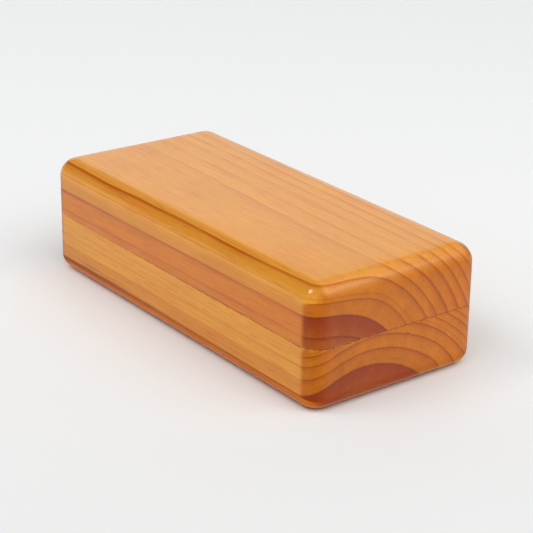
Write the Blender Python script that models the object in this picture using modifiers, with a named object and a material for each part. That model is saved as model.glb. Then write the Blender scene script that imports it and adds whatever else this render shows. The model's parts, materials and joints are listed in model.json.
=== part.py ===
"""Pine box with a hinged lid: two solid boards, hollowed out and rounded over as one block.

Run it with  blender --background --python part.py  or from Blender's text editor.

Frame: metres, +Z up, +X along the length, +Y towards the hinges. The origin is the middle of
the underside. The lid turns about an axis along X behind the back face, level with the seam.
"""

import math

import bmesh
import bpy
from mathutils import Matrix, Vector

MM = 0.001

# The closed box, outside
LENGTH = 225.0 * MM
WIDTH = 101.0 * MM
HEIGHT = 62.5 * MM
SEAM_Z = 32.2 * MM
SEAM_GAP = 0.3 * MM
CORNER_RADIUS = 10.5 * MM
TOP_EDGE_RADIUS = 10.0 * MM
BOTTOM_EDGE_RADIUS = 8.0 * MM
EDGE_SEGMENTS = 8

# The hollow, routed into each half
WALL = 12.0 * MM
FLOOR = 9.0 * MM
CAVITY_CORNER_RADIUS = 8.0 * MM
CAVITY_FOOT_RADIUS = 2.0 * MM
CAVITY_CORNER_SEGMENTS = 5
CAVITY_FOOT_SEGMENTS = 3

# Room between pieces that touch, and how far a cutter runs past what it cuts
PLAY = 0.25 * MM
OVERCUT = 2.0 * MM

# Felt pads
LINING_THICKNESS = 1.6 * MM

# Butt hinges, let into both rims
HINGE_X = 62.0 * MM
HINGE_LENGTH = 30.0 * MM
LEAF_WIDTH = 9.0 * MM
LEAF_THICKNESS = 1.0 * MM
BARREL_RADIUS = 1.9 * MM
BARREL_STANDOFF = 0.3 * MM
MIDDLE_KNUCKLE_LENGTH = 10.0 * MM
PIN_RADIUS = 0.9 * MM
PIN_CLEARANCE = 0.1 * MM
PIN_HEAD_RADIUS = 1.6 * MM
PIN_HEAD_TIP_RADIUS = 1.1 * MM
PIN_HEAD_LENGTH = 0.8 * MM

# Countersunk screws, two in each leaf
SCREW_X = 9.5 * MM
SCREW_INSET = 4.5 * MM
SCREW_LENGTH = 9.0 * MM
SCREW_POINT_LENGTH = 2.0 * MM
SCREW_RADIUS = 0.9 * MM
SCREW_HEAD_RADIUS = 1.8 * MM
SCREW_HEAD_RIM = 0.15 * MM
SCREW_HEAD_DEPTH = 1.0 * MM
SCREW_SLOT_WIDTH = 0.5 * MM
SCREW_SLOT_DEPTH = 0.45 * MM

# Disc magnets in the front rims
MAGNET_X = 84.0 * MM
MAGNET_INSET = 6.0 * MM
MAGNET_RADIUS = 3.0 * MM
MAGNET_THICKNESS = 3.0 * MM
MAGNET_EDGE = 0.2 * MM

# Places that follow from the sizes above
BACK_Y = WIDTH / 2
AXIS_Y = BACK_Y + BARREL_STANDOFF + BARREL_RADIUS
CAVITY_X = LENGTH / 2 - WALL
CAVITY_Y = WIDTH / 2 - WALL
SIDES = {"left": -1, "right": 1}

# Colour, roughness and metallic value of each material
LOOKS = {
    "pine": ((0.60, 0.30, 0.10), 0.35, 0.0),
    "brass": ((0.72, 0.53, 0.23), 0.30, 1.0),
    "nickel": ((0.70, 0.69, 0.66), 0.22, 1.0),
    "felt": ((0.26, 0.03, 0.04), 0.95, 0.0),
}


class Workshop:
    """The collections that everything goes in, and the materials."""

    def __init__(self):
        for obj in list(bpy.data.objects):
            bpy.data.objects.remove(obj)
        self.parts = self.new_collection("pine_box")
        self.cutters = self.new_collection("cutters")
        self.materials = {name: self.new_material(name, *look) for name, look in LOOKS.items()}

    def new_collection(self, name):
        collection = bpy.data.collections.new(name)
        bpy.context.scene.collection.children.link(collection)
        return collection

    def new_material(self, name, colour, roughness, metallic):
        material = bpy.data.materials.new(name)
        material.use_nodes = True
        shader = material.node_tree.nodes["Principled BSDF"]
        shader.inputs["Base Color"].default_value = (*colour, 1.0)
        shader.inputs["Roughness"].default_value = roughness
        shader.inputs["Metallic"].default_value = metallic
        return material

    def add(self, collection, name, data, at, parent):
        """A new object whose origin is at this point of the world, whatever it is parented to."""
        obj = bpy.data.objects.new(name, data)
        collection.objects.link(obj)
        obj.parent = parent
        obj.location = Vector(at) - (parent.location if parent else Vector())
        return obj

    def add_part(self, name, mesh, material, at=(0, 0, 0), parent=None):
        mesh.materials.append(self.materials[material])
        return self.add(self.parts, name, mesh, at, parent)

    def add_cutter(self, name, mesh, at=(0, 0, 0), parent=None):
        cutter = self.add(self.cutters, name, mesh, at, parent)
        cutter.hide_render = True
        cutter.display_type = "WIRE"
        return cutter


class Half:
    """The base or the lid. "into" is the way from its rim into its wood: 1 is up, -1 is down."""

    def __init__(self, name, into, far_z, edge_radius, parent=None):
        self.name = name
        self.into = into
        self.far_z = far_z
        self.edge_radius = edge_radius
        self.parent = parent
        self.rim_z = SEAM_Z + into * SEAM_GAP / 2
        self.shell = None


def smooth(mesh):
    mesh.shade_smooth()
    mesh.set_sharp_from_angle(angle=math.radians(35))
    return mesh


def finished_mesh(name, bm):
    mesh = bpy.data.meshes.new(name)
    bm.to_mesh(mesh)
    bm.free()
    return smooth(mesh)


def bevel_edges(bm, chosen, radius, segments):
    """Round over the edges whose two ends pass a test."""
    edges = [edge for edge in bm.edges if chosen(*(vert.co for vert in edge.verts))]
    bmesh.ops.bevel(
        bm,
        geom=edges,
        offset=radius,
        offset_type="OFFSET",
        segments=segments,
        profile=0.5,
        affect="EDGES",
    )


def start_block(low, high):
    """A block between two corners; each coordinate's two ends may come in either order."""
    low, high = (Vector(pick(pair) for pair in zip(low, high)) for pick in (min, max))
    bm = bmesh.new()
    place = Matrix.Translation((low + high) / 2) @ Matrix.Diagonal((*(high - low), 1.0))
    bmesh.ops.create_cube(bm, size=1.0, matrix=place)
    return bm


def block_mesh(name, low, high):
    return finished_mesh(name, start_block(low, high))


def rounded_block_mesh(name, low, high, corner_radius, corner_segments, edge=None):
    """A block with round upright edges and, if asked, a round edge (height, radius, segments)."""
    tiny = 1e-6
    bm = start_block(low, high)
    bevel_edges(bm, lambda a, b: abs(a.z - b.z) > tiny, corner_radius, corner_segments)
    if edge:
        height, radius, segments = edge
        bevel_edges(bm, lambda a, b: max(abs(a.z - height), abs(b.z - height)) < tiny, radius, segments)
    return finished_mesh(name, bm)


def cone_mesh(name, low, high, low_radius, high_radius, along="Z"):
    """A cone or cylinder between two distances from its own origin along Z or X."""
    bm = bmesh.new()
    place = Matrix.Translation((0, 0, (low + high) / 2))
    if along == "X":
        place = Matrix.Rotation(math.radians(90), 4, "Y") @ place
    bmesh.ops.create_cone(
        bm,
        cap_ends=True,
        segments=24,
        radius1=low_radius,
        radius2=high_radius,
        depth=high - low,
        matrix=place,
    )
    return finished_mesh(name, bm)


def turned_part(workshop, name, profile, material, at, parent=None):
    """A solid of revolution about its own Z; the profile is (radius, height) from the top down."""
    mesh = bpy.data.meshes.new(name)
    points = [(radius, 0.0, height) for radius, height in profile]
    mesh.from_pydata(points, [(i, i + 1) for i in range(len(points) - 1)], [])
    part = workshop.add_part(name, mesh, material, at, parent)
    turning = part.modifiers.new("turning", "SCREW")
    turning.steps = turning.render_steps = 20
    turning.use_merge_vertices = True
    turning.merge_threshold = 1e-6
    return part


def add_boolean(part, cutter, operation="DIFFERENCE"):
    modifier = part.modifiers.new(cutter.name, "BOOLEAN")
    modifier.operation = operation
    modifier.solver = "EXACT"
    modifier.object = cutter


def make_shell(workshop, half):
    """Half of the outside, round at its far edge, with the hollow routed in from its rim."""
    mesh = rounded_block_mesh(
        f"{half.name}_shell",
        (-LENGTH / 2, -WIDTH / 2, half.rim_z),
        (LENGTH / 2, WIDTH / 2, half.far_z),
        CORNER_RADIUS,
        EDGE_SEGMENTS,
        edge=(half.far_z, half.edge_radius, EDGE_SEGMENTS),
    )
    half.shell = workshop.add_part(mesh.name, mesh, "pine", parent=half.parent)

    floor_z = half.far_z - half.into * FLOOR
    hollow = rounded_block_mesh(
        f"{half.name}_hollow",
        (-CAVITY_X, -CAVITY_Y, half.rim_z - half.into * OVERCUT),
        (CAVITY_X, CAVITY_Y, floor_z),
        CAVITY_CORNER_RADIUS,
        CAVITY_CORNER_SEGMENTS,
        edge=(floor_z, CAVITY_FOOT_RADIUS, CAVITY_FOOT_SEGMENTS),
    )
    add_boolean(half.shell, workshop.add_cutter(hollow.name, hollow, parent=half.parent))


def make_lining(workshop, half):
    """A felt pad that covers the flat part of the hollow's floor."""
    back_z = half.far_z - half.into * (FLOOR + PLAY)
    size_x = CAVITY_X - CAVITY_FOOT_RADIUS
    size_y = CAVITY_Y - CAVITY_FOOT_RADIUS
    mesh = rounded_block_mesh(
        f"{half.name}_lining",
        (-size_x, -size_y, 0),
        (size_x, size_y, -half.into * LINING_THICKNESS),
        CAVITY_CORNER_RADIUS - CAVITY_FOOT_RADIUS,
        CAVITY_CORNER_SEGMENTS,
    )
    workshop.add_part(mesh.name, mesh, "felt", (0, 0, back_z), half.parent)


def make_magnet(workshop, half, side, sign):
    """A disc magnet flush with the rim, in a blind pocket."""
    name = f"{half.name}_magnet_{side}"
    at = (sign * MAGNET_X, MAGNET_INSET - BACK_Y, half.rim_z)
    low, high = sorted((0.0, half.into * MAGNET_THICKNESS))
    disc = cone_mesh(name, low, high, MAGNET_RADIUS, MAGNET_RADIUS)
    magnet = workshop.add_part(name, disc, "nickel", at, half.parent)
    edge = magnet.modifiers.new("edge", "BEVEL")
    edge.width = MAGNET_EDGE
    edge.segments = 2

    low, high = sorted((-half.into * OVERCUT, half.into * (MAGNET_THICKNESS + PLAY)))
    pocket = cone_mesh(f"{name}_pocket", low, high, MAGNET_RADIUS + PLAY, MAGNET_RADIUS + PLAY)
    add_boolean(half.shell, workshop.add_cutter(pocket.name, pocket, at, half.parent))


def make_leaf(workshop, half, side, sign):
    """One leaf of a hinge, let into the rim. Its own origin is the middle of the pin's axis."""
    name = f"{side}_hinge_{half.name}_leaf"
    at = (sign * HINGE_X, AXIS_Y, SEAM_Z)
    end = HINGE_LENGTH / 2
    rim_z = half.rim_z - SEAM_Z
    back_y = BACK_Y - AXIS_Y
    plate = block_mesh(
        name,
        (-end, back_y - LEAF_WIDTH, rim_z),
        (end, 0, rim_z + half.into * LEAF_THICKNESS),
    )
    leaf = workshop.add_part(name, plate, "brass", at, half.parent)

    barrel = cone_mesh(f"{name}_barrel", -end, end, BARREL_RADIUS, BARREL_RADIUS, along="X")
    add_boolean(leaf, workshop.add_cutter(barrel.name, barrel, at, half.parent), "UNION")

    # The other leaf's knuckles take whole slices of the barrel, from the back face outwards.
    middle = MIDDLE_KNUCKLE_LENGTH / 2
    if half.into < 0:
        slices = [(-middle - PLAY / 2, middle + PLAY / 2)]
    else:
        slices = [(-end - OVERCUT, PLAY / 2 - middle), (middle - PLAY / 2, end + OVERCUT)]
    reach = BARREL_RADIUS + OVERCUT
    for number, (start, stop) in enumerate(slices, 1):
        gap = block_mesh(f"{name}_gap_{number}", (start, back_y - PLAY, -reach), (stop, reach, reach))
        add_boolean(leaf, workshop.add_cutter(gap.name, gap, at, half.parent))

    bore_radius = PIN_RADIUS + PIN_CLEARANCE
    bore = cone_mesh(f"{name}_bore", -end - OVERCUT, end + OVERCUT, bore_radius, bore_radius, along="X")
    add_boolean(leaf, workshop.add_cutter(bore.name, bore, at, half.parent))

    mortise = block_mesh(
        f"{name}_mortise",
        (-end - PLAY, back_y - LEAF_WIDTH - PLAY, -half.into * OVERCUT),
        (end + PLAY, back_y + OVERCUT, rim_z + half.into * (LEAF_THICKNESS + PLAY)),
    )
    add_boolean(half.shell, workshop.add_cutter(mortise.name, mortise, at, half.parent))
    return leaf


def make_screw(workshop, half, leaf, number, sign):
    """A slotted countersunk screw, its hole in the leaf and its pilot hole in the wood."""
    name = leaf.name.replace("leaf", f"screw_{number}")
    x = leaf.location.x + (leaf.parent.location.x if leaf.parent else 0) + sign * SCREW_X
    at = Vector((x, BACK_Y - SCREW_INSET, half.rim_z))
    facing_up = half.into < 0
    turn = Matrix() if facing_up else Matrix.Rotation(math.pi, 4, "X")

    # The countersink's slope carries on both ways, so that it has the stated radius at the rim.
    hole_radius = SCREW_RADIUS + PLAY
    mouth_radius = SCREW_HEAD_RADIUS + PLAY
    slope = (mouth_radius - hole_radius) / SCREW_HEAD_DEPTH
    countersink = cone_mesh(
        f"{name}_countersink",
        -SCREW_HEAD_DEPTH - PLAY,
        OVERCUT,
        hole_radius - slope * PLAY,
        mouth_radius + slope * OVERCUT,
    )
    pilot = cone_mesh(f"{name}_pilot", -SCREW_LENGTH - 2 * PLAY, OVERCUT, hole_radius, hole_radius)
    for mesh, cut in ((countersink, [leaf]), (pilot, [leaf, half.shell])):
        mesh.transform(turn)
        cutter = workshop.add_cutter(mesh.name, mesh, at, half.parent)
        for part in cut:
            add_boolean(part, cutter)

    profile = [
        (0.0, 0.0),
        (SCREW_HEAD_RADIUS, 0.0),
        (SCREW_HEAD_RADIUS, -SCREW_HEAD_RIM),
        (SCREW_RADIUS, -SCREW_HEAD_DEPTH),
        (SCREW_RADIUS, SCREW_POINT_LENGTH - SCREW_LENGTH),
        (0.0, -SCREW_LENGTH),
    ]
    sunk = Vector((0, 0, half.into * PLAY / 2))
    screw = turned_part(workshop, name, profile, "brass", at + sunk, half.parent)
    screw.rotation_euler = turn.to_euler()
    slot_x = SCREW_HEAD_RADIUS + OVERCUT
    slot_y = SCREW_SLOT_WIDTH / 2
    slot = block_mesh(
        f"{name}_slot",
        (-slot_x, -slot_y, -OVERCUT if not facing_up else -SCREW_SLOT_DEPTH),
        (slot_x, slot_y, OVERCUT if facing_up else SCREW_SLOT_DEPTH),
    )
    add_boolean(screw, workshop.add_cutter(slot.name, slot, at + sunk, half.parent))


def make_pin(workshop, side, sign):
    """The hinge's pin, headed at both ends. It stays with the base leaf's two knuckles."""
    end = HINGE_LENGTH / 2 + PLAY
    tip = end + PIN_HEAD_LENGTH
    upper_half = [
        (0.0, tip),
        (PIN_HEAD_TIP_RADIUS, tip),
        (PIN_HEAD_RADIUS, tip - PIN_HEAD_LENGTH / 2),
        (PIN_HEAD_RADIUS, end),
        (PIN_RADIUS, end),
    ]
    lower_half = [(radius, -height) for radius, height in reversed(upper_half)]
    at = (sign * HINGE_X, AXIS_Y, SEAM_Z)
    pin = turned_part(workshop, f"{side}_hinge_pin", upper_half + lower_half, "brass", at)
    pin.rotation_euler = (0, math.radians(90), 0)


def make_box():
    workshop = Workshop()
    lid_pivot = workshop.add(workshop.parts, "lid_pivot", None, (0, AXIS_Y, SEAM_Z), None)
    base = Half("base", -1, 0.0, BOTTOM_EDGE_RADIUS)
    lid = Half("lid", 1, HEIGHT, TOP_EDGE_RADIUS, lid_pivot)
    for half in (base, lid):
        make_shell(workshop, half)
        make_lining(workshop, half)
        for side, sign in SIDES.items():
            make_magnet(workshop, half, side, sign)
            leaf = make_leaf(workshop, half, side, sign)
            make_screw(workshop, half, leaf, 1, -1)
            make_screw(workshop, half, leaf, 2, 1)
    for side, sign in SIDES.items():
        make_pin(workshop, side, sign)


make_box()
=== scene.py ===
import json
import math
from dataclasses import dataclass

import bmesh
import bpy
from mathutils import Matrix, Vector, noise


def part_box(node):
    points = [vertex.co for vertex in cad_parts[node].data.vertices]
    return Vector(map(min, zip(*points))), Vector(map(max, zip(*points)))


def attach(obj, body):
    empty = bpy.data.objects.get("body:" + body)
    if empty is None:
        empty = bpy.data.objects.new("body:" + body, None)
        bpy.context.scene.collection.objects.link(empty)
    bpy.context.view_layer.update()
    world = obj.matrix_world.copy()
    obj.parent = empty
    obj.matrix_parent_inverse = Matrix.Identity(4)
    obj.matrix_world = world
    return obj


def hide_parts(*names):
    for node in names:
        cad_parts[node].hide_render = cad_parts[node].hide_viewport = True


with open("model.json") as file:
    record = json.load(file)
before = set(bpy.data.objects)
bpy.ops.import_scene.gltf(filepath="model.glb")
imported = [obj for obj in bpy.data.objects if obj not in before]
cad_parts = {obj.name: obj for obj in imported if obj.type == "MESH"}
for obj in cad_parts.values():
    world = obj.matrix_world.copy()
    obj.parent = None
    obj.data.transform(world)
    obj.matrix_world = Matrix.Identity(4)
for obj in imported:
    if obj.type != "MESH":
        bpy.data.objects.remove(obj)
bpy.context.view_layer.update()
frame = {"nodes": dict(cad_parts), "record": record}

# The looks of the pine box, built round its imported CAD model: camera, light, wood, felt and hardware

MM = 0.001
UNDERSIDE = Vector(frame["record"]["mounts"][0]["pos_m"])
BASE_LOW, BASE_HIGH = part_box("base_shell")
LID_LOW, LID_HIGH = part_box("lid_shell")
HALF_X = LID_HIGH.x
HALF_Y = LID_HIGH.y
TOP_Z = LID_HIGH.z
SEAM_Z = (BASE_HIGH.z + LID_LOW.z) / 2

# The wooden halves' shape, as in the CAD
CORNER_RADIUS = 10.5 * MM
TOP_EDGE_RADIUS = 10.0 * MM
BOTTOM_EDGE_RADIUS = 8.0 * MM
WALL = 12.0 * MM
FLOOR = 9.0 * MM
CAVITY_CORNER_RADIUS = 8.0 * MM
CAVITY_FOOT_RADIUS = 2.0 * MM
LEAF_THICKNESS = 1.0 * MM
SCREW_RADIUS = 0.9 * MM
PLAY = 0.25 * MM
OVERCUT = 2.0 * MM

# What the saw, the sandpaper and the hands did to them
END_OUT_OF_SQUARE = 3.0 * MM
SANDING_DEPTH = 0.15 * MM
CROWN = 0.12 * MM
SEAM_OPENING = 0.13 * MM
RIM_EASING = 0.15 * MM
CAVITY_EASING = 0.5 * MM

FELT_CORNER_RADIUS = 6.0 * MM
HARDWARE_EASING = 0.1 * MM

FELT_RED = (0.26, 0.03, 0.04, 1)
FELT_HAIR = (0.55, 0.16, 0.16, 1)
BRASS_CLEAN = (0.80, 0.58, 0.26, 1)
BRASS_DULLED = (0.62, 0.43, 0.18, 1)
NICKEL_CLEAN = (0.72, 0.70, 0.66, 1)
NICKEL_DULLED = (0.50, 0.48, 0.45, 1)

# The camera: where it stands, seen from the middle of the box, and what it is aimed at
CAMERA_DISTANCE = 0.88526
CAMERA_AZIMUTH = -37.375
CAMERA_ELEVATION = 22.508
CAMERA_ROLL = 0.82
CAMERA_AIM_RIGHT = 6.67 * MM
CAMERA_AIM_UP = -6.15 * MM
CAMERA_LENS_MM = 117.5

# The floor: its colour behind the box, its colour in front of it with painted shade where the light falls
# off towards the camera, and its gap below the underside
PAPER_FAR = (0.825, 0.832, 0.832, 1)
PAPER_NEAR_PAINTED_SHADE = (0.748, 0.752, 0.75, 1)
FLOOR_GAP = 0.02 * MM

# The light, with all directions as azimuth and elevation in degrees.
# Softboxes: name, direction, distance, width, height and radiance. Gloss doesn't see them.
PANELS = (
    ("key_panel", 28, 48, 1.2, 0.9, 0.9, 1.1),
    ("fill_panel", -115, 52, 2.2, 0.95, 0.85, 3.6),
)
# The tent's bright sides, which gloss doesn't see either: direction and radiance
TENT_LIGHTS = ((4, 48, 1.8), (-70, 45, 1.95), (120, 14, 1.1), (180, 12, 1.15))
TENT_FOCUS = 6.0
# What gloss sees of the lights: direction, the cosines at which each starts and is full, and radiance.
# They are a wide glow on the key light's side, a sparkle, and the fill light's disc and its core.
MIRRORED_LIGHTS = (
    (66, 43, 0.48, 1.0, 1.1),
    (40, 52, 0.93, 0.995, 2.4),
    (-115, 52, 0.96, 0.985, 3.6),
    (-115, 52, 0.985, 0.998, 14.0),
)
BACKDROP_AZIMUTH = 143
DIM_HORIZON_AZIMUTH = -60
MIRRORED_LEAST = 0.06


# ---------------------------------------------------------------- shader nodes


class Graph:
    """Short calls for building the nodes of one material, or of the world."""

    def __init__(self, name):
        self.material = bpy.data.materials.new(name)
        self.material.use_nodes = True
        self.tree = self.material.node_tree
        self.shader = self.tree.nodes["Principled BSDF"]

    @classmethod
    def of_tree(cls, tree):
        graph = cls.__new__(cls)
        graph.tree = tree
        return graph

    def feed(self, socket, value):
        """Links an output to an input, or sets the input to a plain value."""
        if isinstance(value, bpy.types.NodeSocket):
            self.tree.links.new(value, socket)
        else:
            socket.default_value = value

    def finish(self, **inputs):
        """Sets the shader's inputs; Base_Color stands for "Base Color"."""
        for name, value in inputs.items():
            self.feed(self.shader.inputs[name.replace("_", " ")], value)
        return self.material

    def node(self, kind, inputs=(), **settings):
        node = self.tree.nodes.new(kind)
        for key, value in settings.items():
            setattr(node, key, value)
        for key, value in dict(inputs).items():
            self.feed(node.inputs[key], value)
        return node

    def place_in_mm(self):
        """The point's place in mm, which goes along with the piece when the lid turns."""
        metres = self.node("ShaderNodeTexCoord").outputs["Object"]
        return self.scaled(metres, *(1 / MM,) * 3)

    def math(self, operation, a, b=0.0, c=0.0):
        return self.node("ShaderNodeMath", {0: a, 1: b, 2: c}, operation=operation).outputs[0]

    def add(self, a, b):
        return self.math("ADD", a, b)

    def minus(self, a, b):
        return self.math("SUBTRACT", a, b)

    def times(self, a, b):
        return self.math("MULTIPLY", a, b)

    def absolute(self, value):
        return self.math("ABSOLUTE", value)

    def larger(self, a, b):
        return self.math("MAXIMUM", a, b)

    def split(self, vector):
        return self.node("ShaderNodeSeparateXYZ", {0: vector}).outputs[:3]

    def join(self, x, y, z):
        return self.node("ShaderNodeCombineXYZ", {0: x, 1: y, 2: z}).outputs[0]

    def scaled(self, vector, *factors):
        return self.node("ShaderNodeVectorMath", {0: vector, 1: factors}, operation="MULTIPLY").outputs[0]

    def step(self, value, low, high):
        """0 below low, 1 above high, and an S-curve between; low may be the larger one."""
        inputs = {"Value": value, "From Min": low, "From Max": high}
        return self.node("ShaderNodeMapRange", inputs, interpolation_type="SMOOTHSTEP").outputs[0]

    def line(self, value, low, high, to_low, to_high):
        """A straight-line map from low..high to to_low..to_high, held level outside."""
        inputs = {"Value": value, "From Min": low, "From Max": high, "To Min": to_low, "To Max": to_high}
        return self.node("ShaderNodeMapRange", inputs).outputs[0]

    def noise(self, vector, detail=2.0, roughness=0.5):
        inputs = {"Vector": vector, "Scale": 1.0, "Detail": detail, "Roughness": roughness}
        return self.node("ShaderNodeTexNoise", inputs).outputs[0]

    def wobble(self, vector, size, detail=1.0):
        """Noise between about -size and +size."""
        return self.times(self.minus(self.noise(vector, detail), 0.5), 2.0 * size)

    def curve(self, value, points):
        """A curve of straight runs through the points, for a value from 0 to 1."""
        node = self.node("ShaderNodeFloatCurve", {"Value": value})
        spots = node.mapping.curves[0].points
        spots[0].location, spots[1].location = points[0], points[-1]
        for point in points[1:-1]:
            spots.new(*point)
        for spot in spots:
            spot.handle_type = "VECTOR"
        node.mapping.update()
        return node.outputs[0]

    def mix(self, factor, a, b, blend="MIX"):
        node = self.node("ShaderNodeMix", data_type="RGBA", blend_type=blend)
        self.feed(node.inputs[0], factor)
        self.feed(node.inputs[6], a)
        self.feed(node.inputs[7], b)
        return node.outputs[2]

    def mix_number(self, factor, a, b):
        """a where the factor is 0, b where it is 1."""
        return self.add(a, self.times(factor, self.minus(b, a)))

    def tint(self, factor, colour, tint):
        """The colour times the tint, as far as the factor says."""
        return self.mix(factor, colour, tint, "MULTIPLY")

    def shade(self, colour, factor):
        """The colour times a number."""
        return self.tint(1.0, colour, self.join(factor, factor, factor))

    def bump(self, height, distance, strength=1.0):
        inputs = {"Height": height, "Distance": distance, "Strength": strength}
        return self.node("ShaderNodeBump", inputs).outputs[0]


# ---------------------------------------------------------------- camera, floor and light


def add_object(name, data):
    """Puts a new object into the scene."""
    added = bpy.data.objects.new(name, data)
    bpy.context.scene.collection.objects.link(added)
    return added


def direction(azimuth, elevation):
    """A unit vector; the azimuth is counted from +X towards +Y, in degrees."""
    a, e = math.radians(azimuth), math.radians(elevation)
    return Vector((math.cos(a) * math.cos(e), math.sin(a) * math.cos(e), math.sin(e)))


def add_camera():
    data = bpy.data.cameras.new("camera")
    data.lens = CAMERA_LENS_MM
    data.clip_start = 0.01
    camera = add_object("camera", data)
    back = direction(CAMERA_AZIMUTH, CAMERA_ELEVATION)
    turn = back.to_track_quat("Z", "Y")
    right, up = turn @ Vector((1, 0, 0)), turn @ Vector((0, 1, 0))
    middle = Vector((UNDERSIDE.x, UNDERSIDE.y, TOP_Z / 2))
    camera.location = middle + back * CAMERA_DISTANCE + right * CAMERA_AIM_RIGHT + up * CAMERA_AIM_UP
    camera.rotation_mode = "QUATERNION"
    camera.rotation_quaternion = turn @ Matrix.Rotation(math.radians(CAMERA_ROLL), 4, "Z").to_quaternion()
    bpy.context.scene.camera = camera


def add_panel(name, azimuth, elevation, distance, width, height, radiance):
    """A rectangular softbox that faces the box; its power follows from how bright its face is."""
    data = bpy.data.lights.new(name, "AREA")
    data.shape = "RECTANGLE"
    data.size, data.size_y = width, height
    data.energy = radiance * math.pi * width * height
    panel = add_object(name, data)
    away = direction(azimuth, elevation)
    panel.location = away * distance
    panel.rotation_mode = "QUATERNION"
    panel.rotation_quaternion = away.to_track_quat("Z", "Y")
    panel.visible_glossy = False


def add_floor():
    mesh = bpy.data.meshes.new("floor")
    size = 6.0
    z = UNDERSIDE.z - FLOOR_GAP
    corners = [(-size, -size, z), (size, -size, z), (size, size, z), (-size, size, z)]
    mesh.from_pydata(corners, [], [(0, 1, 2, 3)])
    floor = add_object("floor", mesh)
    graph = Graph("floor_paper")
    inputs = {0: graph.node("ShaderNodeTexCoord").outputs["Object"], 1: direction(CAMERA_AZIMUTH, 0)}
    nearer = graph.node("ShaderNodeVectorMath", inputs, operation="DOT_PRODUCT").outputs["Value"]
    # Painted shade: the paper is darker towards the camera, standing in for light that falls off in front
    paper_with_painted_shade = graph.mix(graph.line(nearer, -0.15, 0.35, 0, 1), PAPER_FAR, PAPER_NEAR_PAINTED_SHADE)
    mesh.materials.append(graph.finish(Base_Color=paper_with_painted_shade, Roughness=0.9, Specular_IOR_Level=0.1))


def add_world():
    """A light tent for everything but gloss. Gloss sees a darker studio instead: a white backdrop
    behind the box, a pale horizon that is dimmer in front, and the lights' reflections."""
    world = bpy.data.worlds.new("studio")
    bpy.context.scene.world = world
    world.use_nodes = True
    graph = Graph.of_tree(world.node_tree)
    across = graph.node("ShaderNodeTexCoord").outputs["Generated"]
    _, _, z = graph.split(across)
    level = graph.math("SQRT", graph.minus(1.0, graph.times(z, z)))

    def towards(azimuth, elevation):
        inputs = {0: across, 1: direction(azimuth, elevation)}
        return graph.node("ShaderNodeVectorMath", inputs, operation="DOT_PRODUCT").outputs["Value"]

    def side(azimuth):
        """The cosine between this compass direction and the one that is looked at."""
        return graph.math("DIVIDE", towards(azimuth, 0), level)

    tent = 0.0
    for azimuth, elevation, radiance in TENT_LIGHTS:
        facing = graph.math("POWER", graph.larger(towards(azimuth, elevation), 0.0), TENT_FOCUS)
        tent = graph.add(tent, graph.times(facing, radiance))

    backdrop = graph.curve(z, [(0, 1), (0.37, 1), (0.43, 0.64), (0.5, 0.4), (0.6, 0.2), (0.7, 0.03), (1, 0)])
    backdrop = graph.times(graph.step(side(BACKDROP_AZIMUTH), 0.72, 0.95), backdrop)
    horizon = graph.curve(z, [(0, 1), (0.04, 0.95), (0.15, 0.45), (0.3, 0.12), (0.5, 0), (1, 0)])
    horizon = graph.times(horizon, graph.line(side(DIM_HORIZON_AZIMUTH), 0.3, 0.9, 1.0, 0.15))
    glow = 0.0
    for azimuth, elevation, start, full, radiance in MIRRORED_LIGHTS:
        spot = graph.step(towards(azimuth, elevation), start, full)
        glow = graph.add(glow, graph.times(spot, radiance))
    mirrored = graph.larger(backdrop, graph.larger(horizon, glow))
    mirrored = graph.math("MULTIPLY_ADD", mirrored, 1.0 - MIRRORED_LEAST, MIRRORED_LEAST)

    glossy = graph.node("ShaderNodeLightPath").outputs["Is Glossy Ray"]
    colour = graph.mix(glossy, graph.join(tent, tent, tent), graph.join(mirrored, mirrored, mirrored))
    graph.feed(world.node_tree.nodes["Background"].inputs["Color"], colour)


def add_lights():
    add_world()
    for panel in PANELS:
        add_panel(*panel)
    bpy.context.scene.view_settings.view_transform = "Standard"


# ---------------------------------------------------------------- wood


@dataclass
class Board:
    """One solid board: where its pith lies and where its growth rings end. All sizes are in mm.

    pith is (y, z) at the end with the larger x. Going towards the other end the pith shifts by lean, in
    y and z, for each millimetre; going outwards from the heartwood it shifts by drift, in y. crowding
    packs the rings closer straight above the pith. face_lines says how dark the line that ends each
    year is where it comes out along the grain, and end_lines how dark it is on the ends. resin says how
    much the heartwood has, from 0 to 1.
    """

    name: str
    pith: tuple
    lean: tuple
    drift: float
    rings: tuple
    face_lines: tuple
    end_lines: tuple
    heart_radius: float
    crowding: float
    resin: float
    seed: float


LID_BOARD = Board(
    "lid_pine",
    pith=(-44.5, -3.2),
    lean=(0.033, 0.0),
    drift=0.0,
    rings=(20, 31, 41.3, 51.4, 61.2, 64.0, 71.5, 76.6, 82.9, 89.4, 94.5, 99.7, 104.5, 109, 113, 117),
    face_lines=(0, 0.3, 0.45, 0.6, 0.12, 0.6, 1.15, 0.3, 0.3, 0.35, 0.4, 0.42, 0.42, 0.42, 0.42, 0.42),
    end_lines=(0, 0.4, 0.7, 0.6, 0.7, 0.35, 0.8, 0.75, 0.8, 0.75, 0.75, 0.7, 0.7, 0.7, 0.7, 0.7),
    heart_radius=51.4,
    crowding=0.55,
    resin=0.25,
    seed=3.0,
)
BASE_BOARD = Board(
    "base_pine",
    pith=(-20.5, -33.0),
    lean=(0.006, 0.003),
    drift=0.27,
    rings=(22, 33, 42, 50.8, 58.4, 64.7, 69.9, 71.6, 74.2, 77.8, 80.4, 84, 88, 92),
    face_lines=(0, 0, 0.2, 0.7, 0.3, 0.4, 0.06, 0.1, 0.15, 0.2, 0.3, 0.3, 0.3, 0.3),
    end_lines=(0, 0.1, 0.25, 0.5, 0.75, 0.8, 0.85, 0.3, 0.8, 0.8, 0.75, 0.7, 0.7, 0.7),
    heart_radius=50.8,
    crowding=0.0,
    resin=1.0,
    seed=11.0,
)

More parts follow.
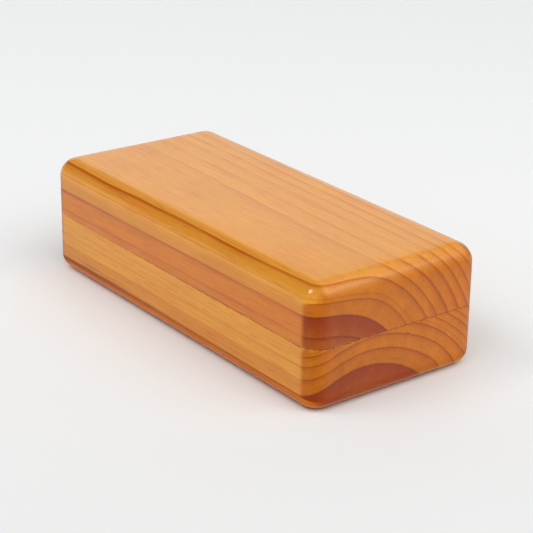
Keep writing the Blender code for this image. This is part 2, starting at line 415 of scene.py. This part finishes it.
# Early wood and the late wood that ends each year, on the faces and edges and then on the ends
SAP_EARLY = (0.735, 0.306, 0.033, 1)
SAP_LATE = (0.46, 0.11, 0.006, 1)
HEART_EARLY = (0.71, 0.232, 0.018, 1)
HEART_LATE = (0.42, 0.09, 0.006, 1)
END_SAP_EARLY = (0.56, 0.158, 0.004, 1)
END_SAP_LATE = (0.33, 0.052, 0.0, 1)
END_HEART_EARLY = (0.36, 0.054, 0.002, 1)
END_HEART_MIDDLE = (0.44, 0.10, 0.006, 1)
END_HEART_LATE = (0.21, 0.024, 0.002, 1)

BARE = (0.80, 0.50, 0.22, 1)
RESIN = (0.21, 0.04, 0.010, 1)
# Darker heartwood along and across the grain, laid on more towards the underside
DARKER_HEART = (0.64, 0.16, 0.012, 1)
END_DARKER_HEART = (0.31, 0.037, 0.004, 1)

# Tints, which the wood's colour is multiplied by
REDDENED = (0.88, 0.76, 0.62, 1)
JOINT_DARKENING = (0.45, 0.34, 0.28, 1)
DEEP_LACQUER = (1.0, 0.82, 0.6, 1)
# The next two are painted shade for the long upper round-overs and the ends' upper round-overs
LONG_EDGE_PAINTED_SHADE = (0.86, 0.83, 0.8, 1)
END_EDGE_PAINTED_SHADE = (1.0, 0.94, 0.76, 1)

# Where a drop of resin shows on the lower board's ends, in mm, and how small it is in y and z
DROP_Y, DROP_Z = 5.5, 27.5
DROP_SMALLNESS = (0.7, 1.6)


class Rings:
    """The growth rings of a board at each point of its wood, as shader nodes."""

    def __init__(self, graph, board, place, x, y, z):
        run = graph.minus(HALF_X / MM, x)
        slow = graph.wobble(graph.scaled(place, 0.012, 0.03, 0.03), 1.1)
        wavy = graph.wobble(graph.scaled(place, 0.03, 0.2, 0.2), 0.16)
        pith_y, pith_z = board.pith
        dy = graph.minus(y, graph.math("MULTIPLY_ADD", run, board.lean[0], pith_y))
        dz = graph.minus(z, graph.math("MULTIPLY_ADD", run, board.lean[1], pith_z))
        radius = graph.math("SQRT", graph.add(graph.times(dy, dy), graph.times(dz, dz)))
        past = graph.larger(graph.minus(radius, board.heart_radius), 0.0)
        if board.drift:
            dy = graph.minus(dy, graph.times(past, board.drift))
            radius = graph.math("SQRT", graph.add(graph.times(dy, dy), graph.times(dz, dz)))
        if board.crowding:
            upright = graph.step(graph.math("ARCTAN2", dz, dy), math.radians(56), math.radians(86))
            radius = graph.add(radius, graph.times(graph.times(past, upright), board.crowding))
        self.radius = graph.add(radius, graph.add(slow, wavy))

        inner, outer = board.rings[0], board.rings[-1]
        count = len(board.rings) - 1
        spots = [((ring - inner) / (outer - inner), i / count) for i, ring in enumerate(board.rings)]
        self.grown = graph.times(graph.curve(graph.line(self.radius, inner, outer, 0, 1), spots), count)
        age = graph.math("DIVIDE", self.grown, count)
        self.face_line, self.end_line = (
            graph.curve(age, [(i / count, line) for i, line in enumerate(lines)])
            for lines in (board.face_lines, board.end_lines)
        )

        # to_go and since: how far it is to the next line and from the last one. A year's wood is about
        # 10 mm wide near the pith and 5 mm further out.
        through = graph.math("FRACT", self.grown)
        width = graph.line(self.radius, 62, 84, 10.0, 5.0)
        self.to_go = graph.times(graph.minus(1.0, through), width)
        self.since = graph.times(through, width)


class Wood:
    """One board's material in the making: its rings and what the surface shows of them at each point."""

    def __init__(self, board):
        graph = Graph(board.name)
        self.graph = graph
        self.board = board
        place = graph.place_in_mm()
        offset = (board.seed * 37, board.seed * 91, board.seed * 53)
        self.x, self.y, self.z = graph.split(place)
        self.place = graph.node("ShaderNodeVectorMath", {0: place, 1: offset}, operation="ADD").outputs[0]
        self.rings = Rings(graph, board, self.place, self.x, self.y, self.z)
        self.heart = graph.step(self.rings.radius, board.heart_radius + 0.4, board.heart_radius - 0.4)
        self.from_heart = graph.minus(self.rings.radius, board.heart_radius)
        self.fibre = self.noise(0.03, 3.0, 3.0, 3.0, 0.6)

        # end is how much end grain shows: 0 on the faces and edges, 1 on the ends. turned is how far
        # the ring lines look like the end's, which starts earlier on the round-over.
        normal = graph.node("ShaderNodeTexCoord").outputs["Normal"]
        self.normal_x, self.normal_y, self.normal_z = graph.split(normal)
        self.sideways = graph.absolute(self.normal_x)
        self.tilt = graph.absolute(self.normal_z)
        rounded = graph.step(self.tilt, 0.05, 0.3)
        low, high = graph.times(rounded, 0.5), graph.math("MULTIPLY_ADD", rounded, 0.72, 0.31)
        self.end = graph.step(self.sideways, low, high)
        self.turned = graph.step(self.sideways, 0.1, 0.45)

        # Latewood: darker towards the end of each year, with a sharp far side
        late = graph.curve(
            graph.times(self.rings.to_go, 0.1),
            [(0, 1.0), (0.06, 1.0), (0.10, 0.62), (0.18, 0.34), (0.35, 0.16), (0.6, 0.04), (1, 0)],
        )
        self.late = graph.larger(late, graph.step(self.rings.since, 0.3, 0.0))

    def noise(self, x, y, z, detail=2.0, roughness=0.5):
        """Noise with features about 1/x, 1/y and 1/z mm long."""
        return self.graph.noise(self.graph.scaled(self.place, x, y, z), detail, roughness)


def ring_colour(wood):
    """Early wood and late wood, sapwood and heartwood, each as it looks along and across the grain."""
    graph, rings = wood.graph, wood.rings

    # Thin false rings between the years
    false_line = graph.curve(
        graph.math("FRACT", graph.times(rings.grown, 3.0)), [(0, 0), (0.7, 0), (0.93, 1), (1, 0)]
    )
    false_line = graph.times(false_line, graph.step(wood.noise(0.008, 0.05, 0.05), 0.42, 0.65))
    late_end = graph.larger(graph.times(wood.late, rings.end_line), graph.times(false_line, 0.2))

    # On faces and edges the lines come and go along the board
    breathing = graph.line(wood.noise(0.015, 0.06, 0.06), 0.3, 0.7, 0.55, 1.2)
    crisp = graph.math("POWER", wood.late, 1.1)
    late_face = graph.larger(graph.times(crisp, rings.face_line), graph.times(false_line, 0.08))
    late_face = graph.mix_number(wood.turned, graph.times(late_face, breathing), late_end)

    sap = graph.mix(late_face, SAP_EARLY, SAP_LATE)
    face = graph.mix(wood.heart, sap, graph.mix(late_face, HEART_EARLY, HEART_LATE))
    inner_heart = graph.step(wood.from_heart, -3, -14)
    end_heart = graph.mix(inner_heart, END_HEART_EARLY, END_HEART_MIDDLE)
    end_sap = graph.mix(late_end, END_SAP_EARLY, END_SAP_LATE)
    across = graph.mix(wood.heart, end_sap, graph.mix(late_end, end_heart, END_HEART_LATE))
    return graph.mix(wood.end, face, across)


def with_resin(wood, colour):
    """Resin has reddened the sapwood beside the heartwood and seeped along it; the heartwood is darker, more
    so low down near the underside.
    """
    graph, resin = wood.graph, wood.board.resin
    beside = graph.step(wood.from_heart, 9, 6)
    reddening = graph.minus(0.5 + 0.35 * resin, graph.times(wood.end, 0.35))
    colour = graph.tint(graph.times(beside, reddening), colour, REDDENED)

    # The heartwood is darker, and more so from 8 mm down to 3 mm above the underside
    heart_darkening = graph.times(wood.heart, graph.line(wood.z, 3, 8, resin * 0.7, resin * 0.2))
    colour = graph.mix(heart_darkening, colour, graph.mix(wood.end, DARKER_HEART, END_DARKER_HEART))

    # The band at the heartwood's edge and a strand outside it, both stronger towards the far end
    seep = wood.noise(0.02, 0.15, 0.15)
    reach = graph.math("MULTIPLY_ADD", graph.line(wood.x, -112, 60, 2.4, 0.8), seep, 0.2)
    band = graph.step(graph.math("DIVIDE", graph.absolute(wood.from_heart), reach), 1.5, 0.3)
    beyond = graph.absolute(graph.minus(wood.from_heart, 2.6))
    strand = graph.times(graph.step(beyond, 0.9, 0.1), graph.step(seep, 0.45, 0.7))
    dark = graph.larger(graph.times(band, resin), graph.times(strand, 0.6 * resin))
    return graph.mix(graph.times(dark, graph.line(wood.x, -112, 40, 0.9, 0.4)), colour, RESIN)


def with_fibres(wood, colour):
    """Fibres run along X and show as a fine speckle on the ends; the pores are short dark dashes."""
    graph = wood.graph
    streak = wood.noise(0.02, 1.1, 1.1, 4.0, 0.7)
    cloud = wood.noise(0.02, 0.06, 0.06)
    fleck = graph.step(wood.noise(0.05, 1.6, 1.6, 2.0, 0.6), 0.5, 0.72)
    fleck = graph.times(fleck, graph.math("MULTIPLY_ADD", wood.heart, 0.14, 0.03))
    tone = graph.math("MULTIPLY_ADD", graph.minus(wood.fibre, 0.5), 0.45, 1.0)
    tone = graph.add(tone, graph.times(graph.minus(streak, 0.5), 0.6))
    tone = graph.add(tone, graph.times(graph.minus(cloud, 0.5), 0.2))
    tone = graph.minus(tone, fleck)
    red_tone = graph.math("MULTIPLY_ADD", tone, 0.65, 0.35)
    colour = graph.tint(1.0, colour, graph.join(red_tone, tone, tone))

    dash = graph.step(wood.noise(0.06, 2.2, 2.2, 1.0), 0.61, 0.70)
    dash = graph.times(dash, graph.math("MULTIPLY_ADD", wood.end, -0.8, 1.0))
    return graph.mix(graph.times(dash, 0.5), colour, SAP_LATE)


def with_wear(wood, colour):
    """A darker joint with chipped edges on the ends, and one drop of resin."""
    graph = wood.graph

    # The wood is darker along the joint, less so towards the far end and not on the rims
    from_seam = graph.absolute(graph.minus(wood.z, SEAM_Z / MM))
    joint_darkening = graph.times(graph.step(from_seam, 0.6, 0.12), graph.line(wood.x, -100, 20, 0.15, 1.0))
    joint_darkening = graph.times(joint_darkening, graph.line(wood.noise(0.25, 0.5, 0.0), 0.35, 0.6, 0.0, 0.9))
    joint_darkening = graph.times(joint_darkening, graph.step(wood.tilt, 0.95, 0.5))
    colour = graph.tint(joint_darkening, colour, JOINT_DARKENING)

    # Where the saw has chipped the ends' edges along the joint, near the front, bare wood shows
    chips = graph.step(wood.noise(1.0, 1.4, 2.2, 1.0), 0.56, 0.66)
    chips = graph.times(chips, graph.step(from_seam, 0.9, 0.3))
    chips = graph.times(graph.times(chips, graph.line(wood.y, 0, -28, 0, 1)), wood.end)
    colour = graph.mix(graph.times(chips, 0.6), colour, BARE)

    drop_y = graph.times(graph.minus(wood.y, DROP_Y), DROP_SMALLNESS[0])
    drop_z = graph.times(graph.minus(wood.z, DROP_Z), DROP_SMALLNESS[1])
    drop = graph.step(graph.add(graph.times(drop_y, drop_y), graph.times(drop_z, drop_z)), 1.0, 0.3)
    drop = graph.times(drop, graph.times(wood.end, wood.board.resin))
    return graph.mix(graph.times(drop, 0.7), colour, RESIN)


def with_lacquer_colour_and_painted_shade(wood, colour):
    """Lacquer gives more colour where it has gone in deeper, and the upper round-overs are darkened with
    painted shade, by which way they face.
    """
    graph = wood.graph
    patch = graph.step(wood.noise(0.03, 0.08, 0.08, 3.0, 0.6), 0.5, 0.68)
    colour = graph.tint(graph.times(patch, 0.5), colour, DEEP_LACQUER)

    # The ends are paler towards the back, and blotchy
    blotch = wood.noise(0.1, 0.16, 0.1, 3.0, 0.65)
    paler = graph.add(graph.line(wood.y, -45, 38, 0.93, 1.1), graph.times(graph.minus(blotch, 0.5), 0.5))
    colour = graph.mix(wood.end, colour, graph.shade(colour, paler))

    # Painted shade: the long upper round-overs and the ends' upper round-overs are darkened by which way
    # they face
    long_edge = graph.step(graph.absolute(wood.normal_y), 0.1, 0.3)
    colour = graph.tint(graph.times(graph.step(wood.normal_z, 0.2, 0.6), long_edge), colour, LONG_EDGE_PAINTED_SHADE)
    end_edge = graph.step(wood.sideways, 0.06, 0.25)
    return graph.tint(graph.times(graph.step(wood.normal_z, 0.6, 0.9), end_edge), colour, END_EDGE_PAINTED_SHADE)


def lacquer_weight(wood):
    """The lacquer is thin on the upright corners, in a band about 5 mm above the table, and here and
    there where it has been rubbed."""
    graph = wood.graph
    corner = graph.absolute(graph.times(wood.normal_x, wood.normal_y))
    low_down = graph.larger(graph.line(wood.z, 3.2, 5.2, 1.0, 0.25), graph.line(wood.z, 5.5, 9.5, 0.25, 1.0))
    low_down = graph.larger(low_down, graph.times(wood.end, 0.6))
    weight = graph.times(low_down, graph.line(corner, 0.1, 0.5, 1.0, 0.4))
    return graph.times(weight, graph.line(wood.noise(0.25, 0.9, 0.9, 3.0, 0.7), 0.3, 0.7, 0.9, 1.0))


def wood_material(board):
    """Lacquered pine. The same rings run through the face, edge and end grain, as in a real board."""
    wood = Wood(board)
    graph = wood.graph
    colour = ring_colour(wood)
    for layer in (with_resin, with_fibres, with_wear, with_lacquer_colour_and_painted_shade):
        colour = layer(wood, colour)
    height = graph.add(graph.times(wood.fibre, 0.4), wood.late)
    ripple = wood.noise(0.05, 0.25, 0.25)
    rough_end = graph.times(wood.noise(0.9, 1.3, 1.3, 3.0, 0.6), graph.larger(wood.end, wood.turned))
    coat_height = graph.add(graph.add(graph.times(height, 0.12), ripple), graph.times(rough_end, 1.5))
    return graph.finish(
        Base_Color=colour,
        Roughness=0.55,
        Specular_IOR_Level=0.0,
        Normal=graph.bump(height, 0.06 * MM, 0.6),
        Coat_Weight=lacquer_weight(wood),
        Coat_Roughness=0.12,
        Coat_IOR=1.43,
        Coat_Normal=graph.bump(coat_height, 0.05 * MM, 0.5),
    )


# ---------------------------------------------------------------- the two wooden halves

CORNER_STEPS = 14
LONG_STEPS = 160
SHORT_STEPS = 64


def rounded_loop(inset, radius):
    """Points round the box's outline, drawn in by inset, counter-clockwise; always the same number."""
    reach_x, reach_y = HALF_X - inset - radius, HALF_Y - inset - radius
    corners = ((1, 1), (-1, 1), (-1, -1), (1, -1))
    points = []
    for quarter, (sign_x, sign_y) in enumerate(corners):
        middle = Vector((sign_x * reach_x, sign_y * reach_y))
        for step in range(CORNER_STEPS + 1):
            angle = math.radians(90 * (quarter + step / CORNER_STEPS))
            points.append(middle + radius * Vector((math.cos(angle), math.sin(angle))))
        start = points[-1]
        if quarter % 2 == 0:
            stop, steps = Vector((-start.x, start.y)), LONG_STEPS
        else:
            stop, steps = Vector((start.x, -start.y)), SHORT_STEPS
        points += [start.lerp(stop, step / steps) for step in range(1, steps)]
    return points


def hand_worked(point, outward):
    """The outside as saw and sandpaper left it: one end a little out of square, the faces not quite flat."""
    far_end = min(max((-point.x - HALF_X + 60 * MM) / (50 * MM), 0.0), 1.0)
    across = (point.y + HALF_Y) / (2 * HALF_Y)
    depth = SANDING_DEPTH * (0.5 + 0.5 * noise.noise(point / (38 * MM)))
    moved = point - outward * depth
    moved.x += END_OUT_OF_SQUARE * across * far_end
    return moved


def rim_state(point):
    """How open the seam is here, and how worn its sharp edge, as factors of the usual."""
    towards_right = 0.5 + 0.5 * point.x / HALF_X
    ragged = noise.noise(Vector((point.x, point.y, 0)) / (2.2 * MM))
    slow = noise.noise(Vector((point.x, point.y, 5)) / (30 * MM))
    opening = 0.35 + 0.65 * towards_right + 0.3 * slow
    worn = 0.5 + 0.3 * towards_right + 2.2 * max(ragged, 0.0) + 0.3 * slow
    return max(opening, 0.2), max(worn, 0.3)


def skin(name, loops, material):
    """Joins the loops of points with faces, closes the first and the last, and makes an object of them."""
    bm = bmesh.new()
    rows = [[bm.verts.new(point) for point in loop] for loop in loops]
    count = len(rows[0])
    for outer, inner in zip(rows, rows[1:]):
        for i in range(count):
            j = (i + 1) % count
            bm.faces.new((outer[i], outer[j], inner[j], inner[i]))
    bm.faces.new(rows[0])
    bm.faces.new(rows[-1])
    bmesh.ops.recalc_face_normals(bm, faces=bm.faces)
    mesh = bpy.data.meshes.new(name)
    bm.to_mesh(mesh)
    bm.free()
    mesh.materials.append(material)
    return add_object(name, mesh)


def raised(points, heights):
    """The flat points at their heights, which are a list or one number for all."""
    if not isinstance(heights, list):
        heights = [heights] * len(points)
    return [Vector((point.x, point.y, height)) for point, height in zip(points, heights)]


class Half:
    """A board's shape: loops from the middle of its outer face, round its rim and down to its floor.

    into is the direction in Z from the seam to the outer face: 1 for the lid, -1 for the base.
    """

    def __init__(self, into, far_z, edge_radius):
        self.into = into
        self.far_z = far_z
        self.edge_radius = edge_radius
        self.outline = rounded_loop(0, CORNER_RADIUS)
        inner = rounded_loop(MM, CORNER_RADIUS - MM)
        self.inward = [(b - a) / MM for a, b in zip(self.outline, inner)]
        states = [rim_state(point) for point in self.outline]
        self.eases = [RIM_EASING * worn for _, worn in states]
        self.rim = [SEAM_Z + into * SEAM_OPENING / 2 * opening for opening, _ in states]
        self.loops = self.outer_face() + self.round_over() + self.wall() + self.rim_edge() + self.hollow()

    def worked(self, points, heights, sideways, along):
        """A loop of the outside; sideways and along say how far the surface faces outwards and along Z."""
        loop = []
        for point, inward in zip(raised(points, heights), self.inward):
            outward = Vector((-inward.x * sideways, -inward.y * sideways, self.into * along))
            loop.append(hand_worked(point, outward))
        return loop

    def outer_face(self):
        """The outer face, which falls away a little before the round-over starts."""
        loops = []
        for inset in (46, 38, 30, 22, 19, 17, 15, 13, 12, 11):
            fall = CROWN * max(0.0, (18 - inset) / 8) ** 2
            points = rounded_loop(inset * MM, 0.5 * MM)
            loops.append(self.worked(points, self.far_z - self.into * fall, 0, 1))
        return loops

    def round_over(self):
        loops = []
        steps = 20
        for step in range(steps + 1):
            angle = math.radians(90 * (1 - step / steps))
            sideways, along = math.cos(angle), math.sin(angle)
            inset = self.edge_radius * (1 - sideways)
            sink = self.edge_radius * (1 - along) + CROWN * (1 - step / steps)
            points = rounded_loop(inset, CORNER_RADIUS - inset)
            loops.append(self.worked(points, self.far_z - self.into * sink, sideways, along))
        return loops

    def wall(self):
        wall_far = self.far_z - self.into * self.edge_radius
        ends = [rim + self.into * ease for rim, ease in zip(self.rim, self.eases)]
        loops = []
        for step in range(1, 9):
            heights = [wall_far + (end - wall_far) * step / 8 for end in ends]
            loops.append(self.worked(self.outline, heights, 1, 0))
        return loops

    def rim_edge(self):
        """The rim's outer edge, worn more in some places than in others."""
        loops = []
        for angle in (30, 60, 90):
            sideways, along = math.cos(math.radians(angle)), math.sin(math.radians(angle))
            worn = zip(self.outline, self.inward, self.eases)
            points = [point + inward * ease * (1 - sideways) for point, inward, ease in worn]
            heights = [rim + self.into * ease * (1 - along) for rim, ease in zip(self.rim, self.eases)]
            loops.append(self.worked(points, heights, 1, 0))
        return loops

    def hollow(self):
        """The rim's inner edge, the hollow's wall and foot, and its floor."""
        loops = []
        for angle in (90, 60, 30, 0):
            inset = WALL - CAVITY_EASING * (1 - math.cos(math.radians(angle)))
            sink = self.into * CAVITY_EASING * (1 - math.sin(math.radians(angle)))
            points = rounded_loop(inset, CAVITY_CORNER_RADIUS + WALL - inset)
            loops.append(raised(points, [rim + sink for rim in self.rim]))
        rim_z = SEAM_Z + self.into * SEAM_OPENING / 2
        floor_z = self.far_z - self.into * FLOOR
        foot_z = floor_z - self.into * CAVITY_FOOT_RADIUS
        for step in range(1, 5):
            points = rounded_loop(WALL, CAVITY_CORNER_RADIUS)
            loops.append(raised(points, rim_z + (foot_z - rim_z) * step / 4))
        for angle in (18, 36, 54, 72, 90):
            sink = CAVITY_FOOT_RADIUS * (1 - math.cos(math.radians(angle)))
            height = foot_z + self.into * CAVITY_FOOT_RADIUS * math.sin(math.radians(angle))
            loops.append(raised(rounded_loop(WALL + sink, CAVITY_CORNER_RADIUS - sink), height))
        for inset in (20, 32, 44):
            points = rounded_loop(inset * MM, CAVITY_CORNER_RADIUS - CAVITY_FOOT_RADIUS)
            loops.append(raised(points, floor_z))
        return loops


def box_cutter(low, high):
    bm = bmesh.new()
    bmesh.ops.create_cube(bm, size=1.0)
    size, middle = high - low, (low + high) / 2
    for vert in bm.verts:
        vert.co = Vector(a * b for a, b in zip(vert.co, size)) + middle
    return cutter_object(bm)


def round_cutter(middle, radius, low_z, high_z):
    bm = bmesh.new()
    place = Matrix.Translation((middle.x, middle.y, (low_z + high_z) / 2))
    bmesh.ops.create_cone(
        bm, cap_ends=True, segments=40, radius1=radius, radius2=radius, depth=high_z - low_z, matrix=place
    )
    return cutter_object(bm)


def cutter_object(bm):
    mesh = bpy.data.meshes.new("cutter")
    bm.to_mesh(mesh)
    bm.free()
    return add_object("cutter", mesh)


def cut(piece, cutters):
    """Cuts the shapes out of the piece and takes them away again."""
    for cutter in cutters:
        modifier = piece.modifiers.new("cut", "BOOLEAN")
        modifier.operation = "DIFFERENCE"
        modifier.solver = "EXACT"
        modifier.object = cutter
    bpy.context.view_layer.update()
    cut_mesh = bpy.data.meshes.new_from_object(piece.evaluated_get(bpy.context.evaluated_depsgraph_get()))
    old, piece.data = piece.data, cut_mesh
    cut_mesh.name = piece.name
    bpy.data.meshes.remove(old)
    piece.modifiers.clear()
    for cutter in cutters:
        mesh = cutter.data
        bpy.data.objects.remove(cutter)
        bpy.data.meshes.remove(mesh)


def hardware_cutters(body, into):
    """The hinges' mortises, the screws' holes and the magnets' pockets in one half's rim."""
    cutters = []
    rim = BASE_HIGH.z if into < 0 else LID_LOW.z
    for side in ("left", "right"):
        low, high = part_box(f"{side}_hinge_{body}_leaf")
        deep = rim + into * (LEAF_THICKNESS + PLAY)
        heights = sorted((deep, rim - into * OVERCUT))
        cutters.append(
            box_cutter(
                Vector((low.x - PLAY, low.y - PLAY, heights[0])),
                Vector((high.x + PLAY, HALF_Y + OVERCUT, heights[1])),
            )
        )
        for number in (1, 2):
            low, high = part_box(f"{side}_hinge_{body}_screw_{number}")
            tip = (high.z if into > 0 else low.z) + into * 2 * PLAY
            heights = sorted((tip, rim - into * OVERCUT))
            cutters.append(round_cutter((low + high) / 2, SCREW_RADIUS + PLAY, *heights))
        low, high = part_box(f"{body}_magnet_{side}")
        deep = (high.z if into > 0 else low.z) + into * PLAY
        heights = sorted((deep, rim - into * OVERCUT))
        cutters.append(round_cutter((low + high) / 2, (high.x - low.x) / 2 + PLAY, *heights))
    return cutters


def make_halves():
    for body, into, far_z, edge_radius, board in (
        ("base", -1, BASE_LOW.z, BOTTOM_EDGE_RADIUS, BASE_BOARD),
        ("lid", 1, TOP_Z, TOP_EDGE_RADIUS, LID_BOARD),
    ):
        shape = Half(into, far_z, edge_radius)
        half = skin(f"{body}_wood", shape.loops, wood_material(board))
        cut(half, hardware_cutters(body, into))
        half.data.shade_smooth()
        half.data.set_sharp_from_angle(angle=math.radians(35))
        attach(half, body)
        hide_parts(f"{body}_shell")


# ---------------------------------------------------------------- felt linings


def felt_material():
    """Wool felt: matted fibres without a weave, paler hairs on top, a soft sheen when seen edge-on."""
    graph = Graph("felt")
    place = graph.place_in_mm()
    swirl = graph.node("ShaderNodeTexNoise", {"Vector": place, "Scale": 0.5}).outputs["Color"]
    swirled = graph.node(
        "ShaderNodeVectorMath", {0: swirl, 1: (5, 5, 5), 2: place}, operation="MULTIPLY_ADD"
    ).outputs[0]
    matted = graph.noise(graph.scaled(swirled, 1.5, 1.5, 1.5), 4.0, 0.7)
    uneven = graph.noise(graph.scaled(place, 0.12, 0.12, 0.12), 3.0, 0.6)
    hair = graph.absolute(graph.minus(graph.noise(graph.scaled(swirled, 0.9, 0.9, 0.9), 1.0), 0.5))
    hair = graph.step(hair, 0.012, 0.0)
    tone = graph.add(graph.line(matted, 0.25, 0.75, 0.55, 1.25), graph.times(graph.minus(uneven, 0.5), 0.5))
    colour = graph.mix(graph.times(hair, 0.35), graph.shade(FELT_RED, tone), FELT_HAIR)
    height = graph.add(matted, graph.times(hair, 0.5))
    return graph.finish(
        Base_Color=colour,
        Roughness=1.0,
        Specular_IOR_Level=0.1,
        Sheen_Weight=0.35,
        Sheen_Roughness=0.45,
        Sheen_Tint=FELT_HAIR,
        Normal=graph.bump(height, 0.25 * MM, 0.8),
    )


def make_lining(name, body, into, material):
    """A pad of felt, cut with a knife: flat where it lies on the wood, its upper edge soft and fuzzy.
    Each place in the profile is how far in from the edge it is, in mm, and its share of the thickness."""
    low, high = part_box(f"{body}_lining")
    inset = HALF_X - high.x
    glued, thickness = (low.z, high.z - low.z) if into < 0 else (high.z, low.z - high.z)
    profile = [(0.2, 0.0), (0.05, 0.12), (0.0, 0.4), (0.06, 0.68), (0.3, 0.87), (0.8, 0.95)]
    profile += [(d, 0.97) for d in (2, 4, 6, 9, 12, 15, 18, 21, 24, 27, 30, 33)]
    loops = []
    for step, (drawn_in, part) in enumerate(profile):
        radius = max(FELT_CORNER_RADIUS - drawn_in * MM, 0.5 * MM)
        loop = []
        for point in rounded_loop(inset + drawn_in * MM, radius):
            place = Vector((point.x, point.y, 20 * MM * into)) / (7 * MM)
            fluff = 0.06 * noise.noise(place) - 0.06 if step > 3 else 0.0
            loop.append((point.x, point.y, glued + thickness * (part + fluff * part)))
        loops.append(loop)
    pad = skin(name, loops, material)
    pad.data.shade_smooth()
    pad.data.set_sharp_from_angle(angle=math.radians(60))
    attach(pad, body)
    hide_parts(f"{body}_lining")


def make_linings():
    material = felt_material()
    make_lining("base_felt", "base", -1, material)
    make_lining("lid_felt", "lid", 1, material)


# ---------------------------------------------------------------- hinges, screws and magnets


def metal_material(name, clean, dulled, roughness):
    """Metal brushed along X, duller and darker in patches where air and fingers have been at it."""
    graph = Graph(name)
    place = graph.place_in_mm()
    brushed = graph.noise(graph.scaled(place, 0.15, 9.0, 9.0), 3.0, 0.6)
    patches = graph.noise(graph.scaled(place, 0.35, 0.35, 0.35), 4.0, 0.65)
    dull = graph.step(patches, 0.44, 0.66)
    colour = graph.shade(graph.mix(dull, clean, dulled), graph.line(brushed, 0.2, 0.8, 0.86, 1.1))
    rough = graph.add(graph.line(brushed, 0.2, 0.8, -0.05, 0.05), graph.times(dull, 0.18))
    return graph.finish(
        Base_Color=colour,
        Metallic=1.0,
        Roughness=graph.add(rough, roughness),
        Normal=graph.bump(brushed, 0.008 * MM, 0.6),
    )


def finish_hardware():
    """Gives the CAD's hinges, pins, screws and magnets their metals, and takes off their sharp edges."""
    brass = metal_material("worn_brass", BRASS_CLEAN, BRASS_DULLED, 0.26)
    nickel = metal_material("nickel_plate", NICKEL_CLEAN, NICKEL_DULLED, 0.14)
    for name, node in frame["nodes"].items():
        if "hinge" in name or "magnet" in name:
            node.data.materials.clear()
            node.data.materials.append(nickel if "magnet" in name else brass)
            bevel = node.modifiers.new("eased_edges", "BEVEL")
            bevel.width = HARDWARE_EASING
            bevel.segments = 2
            bevel.limit_method = "ANGLE"
            bevel.angle_limit = math.radians(40)


add_camera()
add_floor()
add_lights()
make_halves()
make_linings()
finish_hardware()
